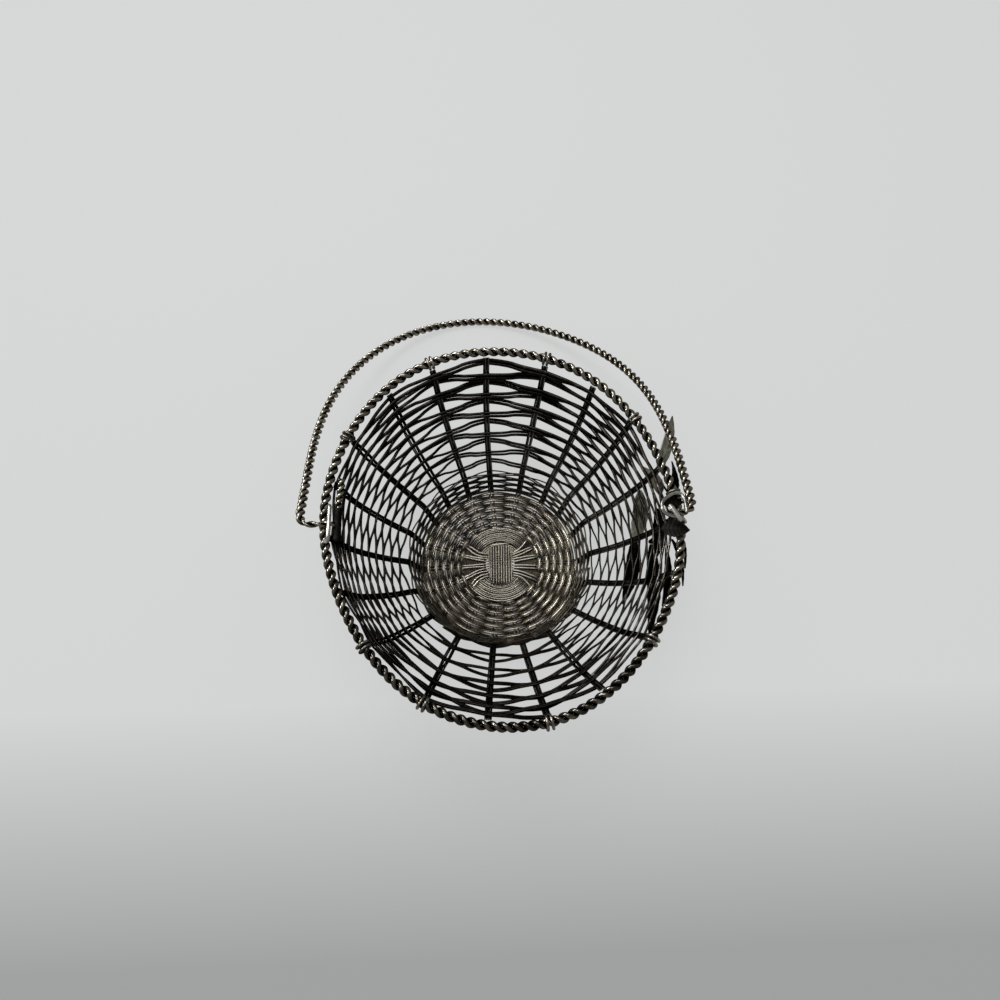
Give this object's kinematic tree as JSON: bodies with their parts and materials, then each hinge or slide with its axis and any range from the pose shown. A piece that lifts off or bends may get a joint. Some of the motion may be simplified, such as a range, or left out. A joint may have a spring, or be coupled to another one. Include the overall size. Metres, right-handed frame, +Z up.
{
  "type": "wire basket",
  "caption": "Round open-weave wire basket with flared sides, a twisted-wire rim, a swinging twisted-wire handle and a spray of metal leaves.",
  "frame": {"origin": "on the surface it stands on, under the middle of the base, on the flat underside of the base binding", "axes": "+Z up; +X along the handle's hinge axis towards the side with the leaves; +Y towards the side where the handle lies folded back"},
  "size_m": [0.2311, 0.2971, 0.094],
  "materials": {
    "wall_wire": "aged dark pewter, worn bright on the crowns",
    "rope_wire": "aged pewter, polished on the outside of each twist",
    "base_wire": "warm tarnished pewter",
    "leaf_metal": "dull tarnished pewter sheet"
  },
  "bodies": {
    "basket": {"stake_01": "wall_wire", "stake_02": "wall_wire", "stake_03": "wall_wire", "stake_04": "wall_wire", "stake_05": "wall_wire", "stake_06": "wall_wire", "stake_07": "wall_wire", "stake_08": "wall_wire", "stake_09": "wall_wire", "stake_10": "wall_wire", "stake_11": "wall_wire", "stake_12": "wall_wire", "stake_13": "wall_wire", "stake_14": "wall_wire", "stake_15": "wall_wire", "stake_16": "wall_wire", "stake_17": "wall_wire", "stake_18": "wall_wire", "stake_19": "wall_wire", "wall_weaver_lower": "wall_wire", "wall_weaver_middle": "wall_wire", "wall_weaver_upper": "wall_wire", "collar_weaver": "wall_wire", "rim_sleeve": "wall_wire", "base_binding": "base_wire", "base_weave": "base_wire", "base_cross_ew": "base_wire", "base_cross_ns": "base_wire", "rim_tie_1": "rope_wire", "rim_tie_2": "rope_wire", "rim_tie_3": "rope_wire", "rim_tie_4": "rope_wire", "rim_tie_5": "rope_wire", "rim_tie_6": "rope_wire", "rim_tie_7": "rope_wire", "rim_tie_8": "rope_wire", "leaf_tie": "rope_wire", "rim_rope": "rope_wire", "rim_rope_tail": "rope_wire", "left_handle_loop": "rope_wire", "right_handle_loop": "rope_wire", "right_loop_tail": "rope_wire", "leaf_1": "leaf_metal", "leaf_2": "leaf_metal", "leaf_3": "leaf_metal", "leaf_4": "leaf_metal", "leaf_5": "leaf_metal", "leaf_6": "leaf_metal", "leaf_7": "leaf_metal", "leaf_8": "leaf_metal", "leaf_9": "leaf_metal", "leaf_10": "leaf_metal", "leaf_11": "leaf_metal", "leaf_12": "leaf_metal", "leaf_stem": "leaf_metal", "leaf_branch": "leaf_metal"},
    "bail": {"bail_rope": "rope_wire"}
  },
  "joints": [
    {"name": "bail_hinge", "type": "hinge", "parent": "basket", "child": "bail", "pos_m": [0, 0, 0.0865], "axis": [1, 0, 0], "range_deg": [0, 228]}
  ]
}
